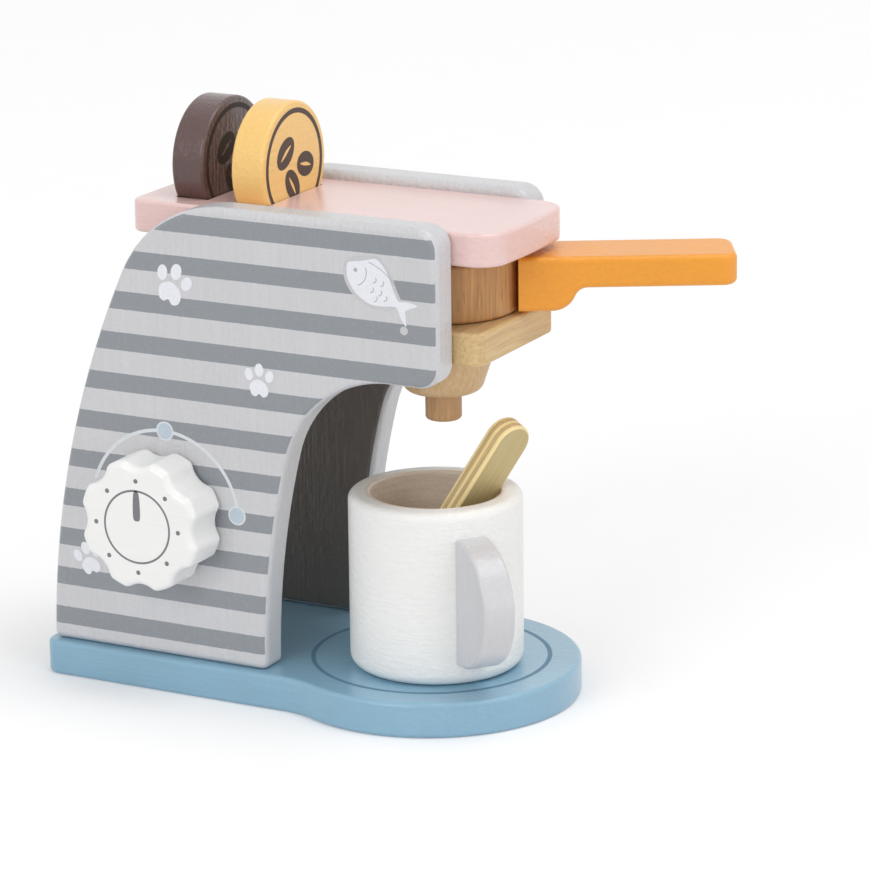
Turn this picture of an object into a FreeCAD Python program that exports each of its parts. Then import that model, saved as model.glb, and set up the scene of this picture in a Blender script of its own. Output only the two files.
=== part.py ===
import FreeCAD, Part
import math
import os
import sys
import Sketcher
from FreeCAD import Placement, Rotation, Vector

# Wooden play coffee maker, in millimetres.
# +X is the front, where the handle points. +Z is up.
# The origin is on the underside of the base board, at half its length, on the centre plane.

doc = FreeCAD.newDocument("play_coffee_maker")

# Driving dimensions

DIMENSIONS = [
    ("base_length", 176, "base board, rear end to front of the round"),
    ("base_width", 85, "base board behind the round"),
    ("base_thickness", 12, "base board"),
    ("base_round_radius", 50, "round under the cup"),
    ("base_blend_radius", 30, "hollow between the straight side and the round"),
    ("base_corner_radius", 5, "rear corners"),
    ("base_arris", 1.5, "rounded arris of the base board"),
    ("housing_gap", 55, "between the inner faces of the side panels"),
    ("panel_thickness", 12, "side panels"),
    ("panel_top", 167, "height of the top edge over the ground"),
    ("panel_front", 62, "front edge of the arm"),
    ("panel_rear_radius", 319, "long curve of the back"),
    ("panel_rear_x", -86, "rearmost point of the back curve"),
    ("panel_rear_height", 5, "height of that point over the ground"),
    ("panel_crown_radius", 43, "where the back curve meets the top edge"),
    ("panel_nose_radius", 7, "two corners at the front of the arm"),
    ("panel_arm_underside", 114.8, "lower edge of the arm"),
    ("panel_arch_radius", 39, "hollow under the arm"),
    ("panel_leg_radius", 292, "front curve of the leg"),
    ("panel_leg_x", -3, "rearmost point of the leg curve"),
    ("panel_leg_height", 13, "height of that point over the ground"),
    ("panel_arris", 2.5, "rounded arris of the side panels"),
    ("top_board_rear", -57.5, "rear end of the top board"),
    ("top_board_front", 77, "front end of the top board, on the centre plane"),
    ("top_board_bow", 1.5, "how far the front end bulges"),
    ("top_board_underside", 153, "height over the ground"),
    ("top_board_thickness", 11, "top board"),
    ("top_board_front_corner", 10, "corner radius at the front"),
    ("top_board_rear_corner", 4, "corner radius at the rear"),
    ("top_board_arris", 1.2, "rounded arris of the top board"),
    ("pod_radius", 21, "coffee pods"),
    ("pod_thickness", 12, "coffee pods"),
    ("pod_arris", 1.2, "rounded arris of the pods"),
    ("pod_rise", 10.3, "centre of a pod over the top face of the board"),
    ("pod_rear_x", -39.3, "rear pod"),
    ("pod_front_x", -16.8, "front pod"),
    ("pod_clearance", 0.3, "between a pod and its slot, all round"),
    ("spout_x", 43.5, "common axis of spout, bowl and portafilter"),
    ("block_rear", 12, "rear end of the brew head block"),
    ("block_front", 71, "front end of the brew head block"),
    ("block_underside", 120.5, "height over the ground"),
    ("block_thickness", 11, "brew head block"),
    ("block_corner_radius", 4.5, "front corners of the block"),
    ("block_arris", 1.2, "rounded arris of the block"),
    ("bowl_top_radius", 18, "turned bowl, where it meets the block"),
    ("bowl_bottom_radius", 12.5, "turned bowl, at its foot"),
    ("bowl_height", 16.6, "turned bowl"),
    ("bowl_foot_rounding", 4, "turned bowl"),
    ("spout_radius", 6, "spout dowel"),
    ("spout_drop", 9.5, "how far the spout stands out of the bowl"),
    ("spout_rounding", 1.2, "lower arris of the spout"),
    ("spout_depth", 4, "how deep the spout dowel enters the block"),
    ("basket_radius", 24.6, "portafilter basket"),
    ("basket_thickness", 19, "portafilter basket"),
    ("basket_flat", 24.2, "distance of the flat from the basket's axis"),
    ("basket_arris", 1.2, "rounded arris of the basket"),
    ("basket_lift", 0.3, "running gap over the block"),
    ("pivot_radius", 4, "pivot dowel"),
    ("pivot_depth", 5, "how deep the pivot dowel enters block and board"),
    ("running_clearance", 0.08, "radial clearance of a dowel that turns or is turned on"),
    ("dowel_clearance", 0.05, "radial clearance of a glued dowel"),
    ("end_clearance", 0.3, "left free at the end of a blind hole"),
    ("handle_end", 95, "end of the portafilter handle from the pivot axis"),
    ("handle_width", 25.5, "portafilter handle"),
    ("handle_top", 18.8, "top face over the underside of the basket"),
    ("handle_root_height", 18, "at the basket"),
    ("handle_grip_height", 10.4, "at the grip"),
    ("handle_root_length", 11, "straight part under the root"),
    ("handle_outer_curve", 8, "rounding under the root"),
    ("handle_inner_curve", 4.5, "hollow where the grip begins"),
    ("handle_corner_radius", 5, "end corners seen from above"),
    ("handle_arris", 1.9, "rounded arris of the handle"),
    ("handle_angle", 29, "swivel at rest, towards +Y"),
    ("handle_dowel_radius", 3, "dowel between handle and basket"),
    ("handle_dowel_depth", 11, "how deep it enters each of them"),
    ("joint_dowel_radius", 2.5, "dowels between panels, top board and block"),
    ("joint_dowel_depth", 8, "how deep they enter each piece"),
    ("top_dowel_rear_x", -3, "rear dowels of the top board"),
    ("top_dowel_front_x", 52, "front dowels of the top board"),
    ("block_dowel_rear_x", 24, "rear dowels of the block"),
    ("block_dowel_front_x", 54, "front dowels of the block"),
    ("screw_rear_x", -68, "rear screws of the side panels"),
    ("screw_front_x", -20, "front screws of the side panels"),
    ("screw_head_radius", 3.8, "countersunk head"),
    ("screw_shank_radius", 2, "shank"),
    ("screw_length", 28, "head to tip"),
    ("screw_tip_length", 5, "pointed end"),
    ("screw_sink", 0.4, "head under the face of the base board"),
    ("screw_clearance", 0.2, "radial clearance in the base board"),
    ("knob_x", -39.8, "axis of the dial knob"),
    ("knob_z", 62, "height of the knob axis over the ground"),
    ("knob_radius", 22.5, "over the lobes"),
    ("knob_thickness", 18, "dial knob"),
    ("knob_lobes", 8, "number of finger hollows"),
    ("knob_hollow_radius", 8, "finger hollow"),
    ("knob_hollow_depth", 2.4, "finger hollow"),
    ("knob_lobe_rounding", 3, "lobes seen from the front"),
    ("knob_arris", 2.6, "front and rear arris"),
    ("knob_gap", 0.4, "running gap between knob and panel"),
    ("axle_radius", 4, "knob axle"),
    ("axle_depth", 12, "how deep the axle enters the knob"),
    ("retainer_radius", 10, "disc on the inner end of the axle"),
    ("retainer_thickness", 7, "disc on the inner end of the axle"),
    ("retainer_rounding", 1.5, "arris of the retainer"),
    ("cup_x", 42.5, "cup axis"),
    ("cup_y", -4.6, "cup axis"),
    ("cup_radius", 28.8, "cup"),
    ("cup_height", 59, "cup"),
    ("cup_bore_radius", 21.5, "inside of the cup"),
    ("cup_floor", 9, "thickness of the cup's floor"),
    ("cup_rim_rounding", 2.8, "outer arris of the rim"),
    ("cup_lip_rounding", 1, "inner arris of the rim"),
    ("cup_foot_rounding", 4, "lower arris"),
    ("cup_floor_rounding", 5, "inside, at the floor"),
    ("cup_seat", 0.2, "gap under the loose cup"),
    ("cup_turn", -38.8, "direction of the cup's handle"),
    ("ear_radius", 21.4, "half-round handle of the cup"),
    ("ear_reach", 51, "outermost point from the cup's axis"),
    ("ear_height", 28.8, "middle of the handle over the cup's foot"),
    ("ear_thickness", 11, "handle of the cup"),
    ("ear_arris", 1.1, "rounded arris of the handle"),
    ("ear_dowel_radius", 2.5, "dowels of the handle"),
    ("ear_dowel_spacing", 20, "one dowel over the other"),
    ("ear_dowel_depth", 5, "how deep they enter the cup's wall"),
    ("ear_dowel_length", 14, "dowels of the handle"),
    ("spoon_length", 79, "stirring spoon"),
    ("spoon_thickness", 7, "stirring spoon"),
    ("spoon_stick_width", 14.4, "stick"),
    ("spoon_bowl_radius", 10, "round end"),
    ("spoon_neck_radius", 16, "hollow between stick and round end"),
    ("spoon_dish_radius", 20, "ball that hollows the round end"),
    ("spoon_dish_depth", 1.8, "depth of the hollow"),
    ("spoon_arris", 1, "rounded arris of the spoon"),
    ("spoon_foot_x", -11.5, "foot of the spoon from the cup's axis"),
    ("spoon_foot_y", -8.1, "foot of the spoon from the cup's axis"),
    ("spoon_foot_z", 14.4, "foot of the spoon over the cup's foot"),
    ("spoon_heading", 27.7, "direction in which it leans"),
    ("spoon_slope", 58.8, "angle over the ground"),
    ("spoon_twist", -47, "turn about its own length"),
]

sheet = doc.addObject("Spreadsheet::Sheet", "dims")
for row, (alias, value, note) in enumerate(DIMENSIONS, start=1):
    sheet.set("A%d" % row, alias)
    sheet.set("B%d" % row, str(value))
    sheet.set("C%d" % row, note)
    sheet.setAlias("B%d" % row, alias)
doc.recompute()


def size(alias):
    """Value of a cell, for first positions in a sketch."""
    return float(sheet.get(alias))


# Helpers

def origin_item(body, role):
    """Plane or axis of the body's own origin."""
    for item in body.Origin.OriginFeatures:
        if item.Role == role:
            return item
    raise ValueError(role)


def new_body(label):
    body = doc.addObject("PartDesign::Body", label)
    body.Label = label
    return body


def new_sketch(body, name, role, offset="0"):
    """Sketch on an origin plane, moved along that plane's normal by the offset expression."""
    sketch = body.newObject("Sketcher::SketchObject", name)
    sketch.AttachmentSupport = [(origin_item(body, role), "")]
    sketch.MapMode = "FlatFace"
    sketch.setExpression("AttachmentOffset.Base.z", offset)
    return sketch


def dimension(sketch, kind, refs, value, expression):
    """Dimensional constraint that follows a cell expression."""
    index = sketch.addConstraint(Sketcher.Constraint(kind, *refs, value))
    name = "size_%d" % index
    sketch.renameConstraint(index, name)
    sketch.setExpression("Constraints." + name, expression)


def place_point(sketch, geometry, position, x_value, x_expression, y_value, y_expression):
    """Pins a point of the sketch to x and y, measured from the sketch's origin."""
    for kind, value, expression in (
        ("DistanceX", x_value, x_expression),
        ("DistanceY", y_value, y_expression),
    ):
        if expression == "0":
            axis = -2 if kind == "DistanceX" else -1
            sketch.addConstraint(Sketcher.Constraint("PointOnObject", geometry, position, axis))
        else:
            refs = (-1, 1, geometry, position)
            dimension(sketch, kind, refs, value, expression)


def add_circle(sketch, x_value, x_expression, y_value, y_expression, radius, radius_expression):
    circle = Part.Circle(Vector(x_value, y_value, 0), Vector(0, 0, 1), radius)
    index = sketch.addGeometry(circle, False)
    dimension(sketch, "Radius", (index,), radius, radius_expression)
    place_point(sketch, index, 3, x_value, x_expression, y_value, y_expression)
    return index


def add_rectangle(sketch, x0, x0_expression, x1, x1_expression, half_width, half_expression):
    """Rectangle from x0 to x1, as wide on both sides of the X axis."""
    corners = [
        Vector(x0, -half_width, 0),
        Vector(x1, -half_width, 0),
        Vector(x1, half_width, 0),
        Vector(x0, half_width, 0),
    ]
    for start, end in zip(corners, corners[1:] + corners[:1]):
        sketch.addGeometry(Part.LineSegment(start, end), False)
    for index in range(4):
        sketch.addConstraint(Sketcher.Constraint("Coincident", index, 2, (index + 1) % 4, 1))
    for index, kind in enumerate(("Horizontal", "Vertical", "Horizontal", "Vertical")):
        sketch.addConstraint(Sketcher.Constraint(kind, index))
    place_point(sketch, 0, 1, x0, x0_expression, -half_width, "-(" + half_expression + ")")
    place_point(sketch, 1, 2, x1, x1_expression, half_width, half_expression)


class Outline:
    """Closed chain of lines and arcs, drawn in order and joined end to end."""

    def __init__(self, sketch):
        self.sketch = sketch
        self.ends = []

    def line(self, start, end):
        geometry = Part.LineSegment(Vector(*start, 0), Vector(*end, 0))
        index = self.sketch.addGeometry(geometry, False)
        self.ends.append((index, 1, 2))
        return index

    def arc(self, centre, radius, start, end, counter_clockwise):
        first, last = (start, end) if counter_clockwise else (end, start)
        angles = [math.atan2(p[1] - centre[1], p[0] - centre[0]) for p in (first, last)]
        circle = Part.Circle(Vector(*centre, 0), Vector(0, 0, 1), radius)
        index = self.sketch.addGeometry(Part.ArcOfCircle(circle, *angles), False)
        self.ends.append((index, 1, 2) if counter_clockwise else (index, 2, 1))
        return index

    def join(self, kinds):
        """kinds says for each piece how it meets the next one: Tangent or Coincident."""
        following = self.ends[1:] + self.ends[:1]
        for kind, here, there in zip(kinds, self.ends, following):
            constraint = Sketcher.Constraint(kind, here[0], here[2], there[0], there[1])
            self.sketch.addConstraint(constraint)


def pad(body, sketch, name, length, reversed_direction=False, taper=None):
    feature = body.newObject("PartDesign::Pad", name)
    feature.Profile = sketch
    feature.Reversed = reversed_direction
    feature.setExpression("Length", length)
    if taper:
        feature.setExpression("TaperAngle", taper)
    sketch.Visibility = False
    doc.recompute()
    return feature


def pocket(body, sketch, name, length, reversed_direction=False, taper=None):
    """Cuts along the sketch's normal backwards, or forwards if reversed, and must remove something."""
    before = body.Shape.Volume
    feature = body.newObject("PartDesign::Pocket", name)
    feature.Profile = sketch
    feature.Reversed = reversed_direction
    feature.setExpression("Length", length)
    if taper:
        feature.setExpression("TaperAngle", taper)
    sketch.Visibility = False
    doc.recompute()
    if not body.Shape.Volume < before - 1e-6:
        raise RuntimeError(name + " cuts nothing")
    return feature


def round_edges(body, name, radius, wanted):
    """Rounds the edges of the body's tip for which wanted(edge) is true."""
    base = body.Tip
    names = ["Edge%d" % i for i, edge in enumerate(base.Shape.Edges, start=1) if wanted(edge)]
    if not names:
        raise RuntimeError(name + " finds no edge")
    feature = body.newObject("PartDesign::Fillet", name)
    feature.Base = (base, names)
    feature.setExpression("Radius", radius)
    doc.recompute()
    return feature


def near(a, b):
    return abs(a - b) < 1e-4


def lies_at(edge, axis, value):
    """True if the whole edge lies in the plane where that coordinate has the value."""
    box = edge.BoundBox
    low, high = {"x": (box.XMin, box.XMax), "y": (box.YMin, box.YMax), "z": (box.ZMin, box.ZMax)}[axis]
    return near(low, value) and near(high, value)


def is_upright(edge):
    box = edge.BoundBox
    return near(box.XLength, 0) and near(box.YLength, 0)


def dowel_holes(body, name, role, offset, points, radius, depth, reversed_direction=False):
    """Blind round holes for dowels, drilled from a plane at the given points."""
    sketch = new_sketch(body, name + "_points", role, offset)
    for x_value, x_expression, y_value, y_expression in points:
        add_circle(
            sketch, x_value, x_expression, y_value, y_expression,
            size("joint_dowel_radius"), radius,
        )
    return pocket(body, sketch, name, depth, reversed_direction)


# Base board

base_top = size("base_thickness")
round_x = size("base_length") / 2 - size("base_round_radius")
round_x_cell = "dims.base_length / 2 - dims.base_round_radius"


def make_base_board():
    body = new_body("base_board")
    sketch = new_sketch(body, "base_outline", "XY_Plane")
    rear = -size("base_length") / 2
    side = size("base_width") / 2
    big = size("base_round_radius")
    blend = size("base_blend_radius")
    corner = size("base_corner_radius")
    blend_x = round_x - math.sqrt((big + blend) ** 2 - (side + blend) ** 2)
    touch = big / (big + blend)
    touch_x = round_x + (blend_x - round_x) * touch
    touch_y = (side + blend) * touch
    chain = Outline(sketch)
    lower_side = chain.line((rear + corner, -side), (blend_x, -side))
    lower_blend = chain.arc((blend_x, -side - blend), blend, (blend_x, -side), (touch_x, -touch_y), False)
    front_round = chain.arc((round_x, 0), big, (touch_x, -touch_y), (touch_x, touch_y), True)
    upper_blend = chain.arc((blend_x, side + blend), blend, (touch_x, touch_y), (blend_x, side), False)
    upper_side = chain.line((blend_x, side), (rear + corner, side))
    upper_corner = chain.arc(
        (rear + corner, side - corner), corner, (rear + corner, side), (rear, side - corner), True)
    rear_end = chain.line((rear, side - corner), (rear, -side + corner))
    lower_corner = chain.arc(
        (rear + corner, -side + corner), corner, (rear, -side + corner), (rear + corner, -side), True)
    chain.join(["Tangent"] * 8)
    sketch.addConstraint(Sketcher.Constraint("Horizontal", lower_side))
    sketch.addConstraint(Sketcher.Constraint("Horizontal", upper_side))
    sketch.addConstraint(Sketcher.Constraint("Vertical", rear_end))
    dimension(sketch, "Radius", (front_round,), big, "dims.base_round_radius")
    place_point(sketch, front_round, 3, round_x, round_x_cell, 0, "0")
    for index in (lower_blend, upper_blend):
        dimension(sketch, "Radius", (index,), blend, "dims.base_blend_radius")
    for index in (upper_corner, lower_corner):
        dimension(sketch, "Radius", (index,), corner, "dims.base_corner_radius")
    dimension(sketch, "DistanceX", (-1, 1, rear_end, 1), rear, "-dims.base_length / 2")
    dimension(sketch, "DistanceY", (-1, 1, upper_side, 1), side, "dims.base_width / 2")
    dimension(sketch, "DistanceY", (-1, 1, lower_side, 1), -side, "-dims.base_width / 2")
    pad(body, sketch, "base_plate", "dims.base_thickness")
    round_edges(body, "base_rounding", "dims.base_arris", lambda edge: not is_upright(edge))
    drill_screw_holes(body)
    return body


screw_y_cell = "(dims.housing_gap + dims.panel_thickness) / 2"
screw_y = (size("housing_gap") + size("panel_thickness")) / 2


def screw_circles(sketch, radius, radius_expression, only_side=None):
    """One circle for each screw, or for those on one side."""
    for alias in ("screw_rear_x", "screw_front_x"):
        for sign in (-1, 1) if only_side is None else (only_side,):
            y_expression = screw_y_cell if sign > 0 else "-" + screw_y_cell
            add_circle(
                sketch, size(alias), "dims." + alias, sign * screw_y, y_expression,
                radius, radius_expression,
            )


def drill_screw_holes(body):
    """Clearance holes with countersinks for the screws, from below."""
    through = new_sketch(body, "screw_hole_points", "XY_Plane")
    screw_circles(
        through, size("screw_shank_radius") + size("screw_clearance"),
        "dims.screw_shank_radius + dims.screw_clearance",
    )
    pocket(body, through, "screw_holes", "dims.base_thickness", True)
    sunk = new_sketch(body, "countersink_points", "XY_Plane")
    screw_circles(
        sunk, size("screw_head_radius") + size("screw_sink") + size("screw_clearance"),
        "dims.screw_head_radius + dims.screw_sink + dims.screw_clearance",
    )
    depth = "dims.screw_head_radius + dims.screw_sink - dims.screw_shank_radius"
    pocket(body, sunk, "countersinks", depth, True, "-45")


def make_base_screws():
    """Four countersunk screws that hold the side panels, as one group."""
    body = new_body("base_screws")
    heads = new_sketch(body, "head_circles", "XY_Plane", "dims.screw_sink")
    screw_circles(heads, size("screw_head_radius"), "dims.screw_head_radius")
    head_height = "dims.screw_head_radius - dims.screw_shank_radius"
    pad(body, heads, "heads", head_height, False, "-45")
    shank_start = "dims.screw_sink + " + head_height
    shanks = new_sketch(body, "shank_circles", "XY_Plane", shank_start)
    screw_circles(shanks, size("screw_shank_radius"), "dims.screw_shank_radius")
    shank_length = "dims.screw_length - dims.screw_tip_length - (" + head_height + ")"
    pad(body, shanks, "shanks", shank_length)
    tip_start = "dims.screw_sink + dims.screw_length - dims.screw_tip_length"
    tips = new_sketch(body, "tip_circles", "XY_Plane", tip_start)
    screw_circles(tips, size("screw_shank_radius"), "dims.screw_shank_radius")
    taper = "-atan((dims.screw_shank_radius - 0.5) / dims.screw_tip_length)"
    pad(body, tips, "tips", "dims.screw_tip_length", False, taper)
    return body


# Side panels

def panel_outline(sketch):
    """Side panel seen from the side: curved back, arm to the front and arch under the arm."""
    bottom = base_top
    top = size("panel_top")
    front = size("panel_front")
    under = size("panel_arm_underside")
    back_r = size("panel_rear_radius")
    back = (size("panel_rear_x") + back_r, size("panel_rear_height"))
    crown_r = size("panel_crown_radius")
    nose_r = size("panel_nose_radius")
    arch_r = size("panel_arch_radius")
    leg_r = size("panel_leg_radius")
    leg = (size("panel_leg_x") + leg_r, size("panel_leg_height"))

    def on_back(centre, radius, height):
        return (centre[0] - math.sqrt(radius ** 2 - (height - centre[1]) ** 2), height)

    crown_z = top - crown_r
    crown = (back[0] - math.sqrt((back_r - crown_r) ** 2 - (crown_z - back[1]) ** 2), crown_z)
    arch_z = under - arch_r
    arch = (leg[0] - math.sqrt((leg_r - arch_r) ** 2 - (arch_z - leg[1]) ** 2), arch_z)

    def touching(big, big_r, small):
        length = math.dist(big, small)
        return tuple(b + (s - b) * big_r / length for b, s in zip(big, small))

    back_foot = on_back(back, back_r, bottom)
    leg_foot = on_back(leg, leg_r, bottom)
    back_end = touching(back, back_r, crown)
    leg_end = touching(leg, leg_r, arch)

    chain = Outline(sketch)
    foot = chain.line(back_foot, leg_foot)
    leg_arc = chain.arc(leg, leg_r, leg_foot, leg_end, False)
    arch_arc = chain.arc(arch, arch_r, leg_end, (arch[0], under), False)
    underside = chain.line((arch[0], under), (front - nose_r, under))
    low_nose = chain.arc(
        (front - nose_r, under + nose_r), nose_r, (front - nose_r, under), (front, under + nose_r), True)
    face = chain.line((front, under + nose_r), (front, top - nose_r))
    high_nose = chain.arc(
        (front - nose_r, top - nose_r), nose_r, (front, top - nose_r), (front - nose_r, top), True)
    crest = chain.line((front - nose_r, top), (crown[0], top))
    crown_arc = chain.arc(crown, crown_r, (crown[0], top), back_end, True)
    back_arc = chain.arc(back, back_r, back_end, back_foot, True)
    chain.join(["Coincident"] + ["Tangent"] * 8 + ["Coincident"])

    for index in (foot, underside, crest):
        sketch.addConstraint(Sketcher.Constraint("Horizontal", index))
    sketch.addConstraint(Sketcher.Constraint("Vertical", face))
    dimension(sketch, "DistanceY", (-1, 1, foot, 1), bottom, "dims.base_thickness")
    dimension(sketch, "DistanceY", (-1, 1, crest, 1), top, "dims.panel_top")
    dimension(sketch, "DistanceY", (-1, 1, underside, 1), under, "dims.panel_arm_underside")
    dimension(sketch, "DistanceX", (-1, 1, face, 1), front, "dims.panel_front")
    dimension(sketch, "Radius", (crown_arc,), crown_r, "dims.panel_crown_radius")
    dimension(sketch, "Radius", (arch_arc,), arch_r, "dims.panel_arch_radius")
    for index in (low_nose, high_nose):
        dimension(sketch, "Radius", (index,), nose_r, "dims.panel_nose_radius")
    dimension(sketch, "Radius", (back_arc,), back_r, "dims.panel_rear_radius")
    dimension(sketch, "Radius", (leg_arc,), leg_r, "dims.panel_leg_radius")
    place_point(
        sketch, back_arc, 3, back[0], "dims.panel_rear_x + dims.panel_rear_radius",
        back[1], "dims.panel_rear_height")
    place_point(
        sketch, leg_arc, 3, leg[0], "dims.panel_leg_x + dims.panel_leg_radius",
        leg[1], "dims.panel_leg_height")


top_dowel_z_cell = "dims.top_board_underside + dims.top_board_thickness / 2"
block_dowel_z_cell = "dims.block_underside + dims.block_thickness / 2"
top_dowel_z = size("top_board_underside") + size("top_board_thickness") / 2
block_dowel_z = size("block_underside") + size("block_thickness") / 2
TOP_DOWELS = [
    (size(alias), "dims." + alias, top_dowel_z, top_dowel_z_cell)
    for alias in ("top_dowel_rear_x", "top_dowel_front_x")
]
BLOCK_DOWELS = [
    (size(alias), "dims." + alias, block_dowel_z, block_dowel_z_cell)
    for alias in ("block_dowel_rear_x", "block_dowel_front_x")
]
GLUED_HOLE = "dims.joint_dowel_radius + dims.dowel_clearance"


def make_side_panel(label, side):
    """side is -1 for the panel with the knob and 1 for the other one."""
    body = new_body(label)
    # The normal of this plane points to -Y, so a positive offset lies on the knob's side.
    start = "dims.housing_gap / 2" if side < 0 else "-dims.housing_gap / 2 - dims.panel_thickness"
    sketch = new_sketch(body, label + "_outline", "XZ_Plane", start)
    panel_outline(sketch)
    pad(body, sketch, label + "_plate", "dims.panel_thickness")
    round_edges(body, label + "_rounding", "dims.panel_arris", lambda edge: True)
    inner = "dims.housing_gap / 2" if side < 0 else "-dims.housing_gap / 2"
    drill_outwards = side < 0
    dowel_holes(
        body, label + "_dowel_holes", "XZ_Plane", inner, TOP_DOWELS + BLOCK_DOWELS,
        GLUED_HOLE, "dims.joint_dowel_depth", drill_outwards)
    pilots = new_sketch(body, label + "_pilot_points", "XY_Plane", "dims.base_thickness")
    screw_circles(
        pilots, size("screw_shank_radius"), "dims.screw_shank_radius + dims.dowel_clearance", side)
    depth = "dims.screw_length + dims.screw_sink - dims.base_thickness + dims.end_clearance"
    pocket(body, pilots, label + "_pilot_holes", depth, True)
    if side < 0:
        axle_hole = new_sketch(body, "axle_hole_circle", "XZ_Plane", inner)
        add_circle(
            axle_hole, size("knob_x"), "dims.knob_x", size("knob_z"), "dims.knob_z",
            size("axle_radius"), "dims.axle_radius + dims.running_clearance")
        pocket(body, axle_hole, "axle_hole", "dims.panel_thickness", True)
    return body


# Top board with the slots for the pods

slot_half_cell = "sqrt(dims.pod_radius ^ 2 - dims.pod_rise ^ 2) + dims.pod_clearance"
board_top_cell = "dims.top_board_underside + dims.top_board_thickness"


def make_top_board():
    body = new_body("top_board")
    sketch = new_sketch(body, "top_board_outline", "XY_Plane", "dims.top_board_underside")
    rear = size("top_board_rear")
    front = size("top_board_front")
    bow = size("top_board_bow")
    half = size("housing_gap") / 2
    radius = (half ** 2 + bow ** 2) / (2 * bow)
    shoulder = front - bow
    chain = Outline(sketch)
    lower = chain.line((rear, -half), (shoulder, -half))
    nose = chain.arc((front - radius, 0), radius, (shoulder, -half), (shoulder, half), True)
    upper = chain.line((shoulder, half), (rear, half))
    end = chain.line((rear, half), (rear, -half))
    chain.join(["Coincident"] * 4)
    sketch.addConstraint(Sketcher.Constraint("Horizontal", lower))
    sketch.addConstraint(Sketcher.Constraint("Horizontal", upper))
    sketch.addConstraint(Sketcher.Constraint("Vertical", end))
    sketch.addConstraint(Sketcher.Constraint("PointOnObject", nose, 3, -1))
    radius_cell = "((dims.housing_gap / 2) ^ 2 + dims.top_board_bow ^ 2) / (2 * dims.top_board_bow)"
    dimension(sketch, "Radius", (nose,), radius, radius_cell)
    place_point(sketch, lower, 1, rear, "dims.top_board_rear", -half, "-dims.housing_gap / 2")
    place_point(
        sketch, upper, 1, shoulder, "dims.top_board_front - dims.top_board_bow",
        half, "dims.housing_gap / 2")
    pad(body, sketch, "top_board_plate", "dims.top_board_thickness")
    middle = (rear + front) / 2
    round_edges(
        body, "front_corners", "dims.top_board_front_corner",
        lambda edge: is_upright(edge) and edge.BoundBox.XMin > middle)
    round_edges(
        body, "rear_corners", "dims.top_board_rear_corner",
        lambda edge: is_upright(edge) and edge.BoundBox.XMax < middle and
        near(edge.BoundBox.XMin, rear))
    round_edges(body, "top_board_rounding", "dims.top_board_arris", lambda edge: not is_upright(edge))
    for alias in ("pod_rear_x", "pod_front_x"):
        slot = new_sketch(body, alias + "_slot_outline", "XY_Plane", board_top_cell)
        half_slot = size("pod_thickness") / 2 + size("pod_clearance")
        half_length = math.sqrt(size("pod_radius") ** 2 - size("pod_rise") ** 2) + size("pod_clearance")
        width_cell = "(dims.pod_thickness / 2 + dims.pod_clearance)"
        add_rectangle(
            slot, size(alias) - half_slot, "dims." + alias + " - " + width_cell,
            size(alias) + half_slot, "dims." + alias + " + " + width_cell,
            half_length, slot_half_cell)
        pocket(body, slot, alias + "_slot", "dims.top_board_thickness")
    for side in (-1, 1):
        face = "dims.housing_gap / 2" if side < 0 else "-dims.housing_gap / 2"
        name = "top_board_dowel_holes_%d" % (side + 2)
        dowel_holes(
            body, name, "XZ_Plane", face, TOP_DOWELS, GLUED_HOLE, "dims.joint_dowel_depth", side > 0)
    pivot = new_sketch(body, "board_pivot_circle", "XY_Plane", "dims.top_board_underside")
    add_circle(
        pivot, size("spout_x"), "dims.spout_x", 0, "0",
        size("pivot_radius"), "dims.pivot_radius + dims.dowel_clearance")
    pocket(body, pivot, "board_pivot_hole", "dims.pivot_depth + dims.end_clearance", True)
    return body


# Brew head: block, turned bowl and spout

block_top_cell = "dims.block_underside + dims.block_thickness"


def make_brew_head_block():
    body = new_body("brew_head_block")
    sketch = new_sketch(body, "block_outline", "XY_Plane", "dims.block_underside")
    add_rectangle(
        sketch, size("block_rear"), "dims.block_rear", size("block_front"), "dims.block_front",
        size("housing_gap") / 2, "dims.housing_gap / 2")
    pad(body, sketch, "block_plate", "dims.block_thickness")
    front = size("block_front")
    round_edges(
        body, "block_corners", "dims.block_corner_radius",
        lambda edge: is_upright(edge) and near(edge.BoundBox.XMax, front))
    round_edges(body, "block_rounding", "dims.block_arris", lambda edge: not is_upright(edge))
    for side in (-1, 1):
        face = "dims.housing_gap / 2" if side < 0 else "-dims.housing_gap / 2"
        name = "block_dowel_holes_%d" % (side + 2)
        dowel_holes(
            body, name, "XZ_Plane", face, BLOCK_DOWELS, GLUED_HOLE, "dims.joint_dowel_depth", side > 0)
    pivot = new_sketch(body, "block_pivot_circle", "XY_Plane", block_top_cell)
    add_circle(
        pivot, size("spout_x"), "dims.spout_x", 0, "0",
        size("pivot_radius"), "dims.pivot_radius + dims.dowel_clearance")
    pocket(body, pivot, "block_pivot_hole", "dims.pivot_depth + dims.end_clearance")
    spout = new_sketch(body, "block_spout_circle", "XY_Plane", "dims.block_underside")
    add_circle(
        spout, size("spout_x"), "dims.spout_x", 0, "0",
        size("spout_radius"), "dims.spout_radius + dims.dowel_clearance")
    pocket(body, spout, "block_spout_hole", "dims.spout_depth + dims.end_clearance", True)
    return body


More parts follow.
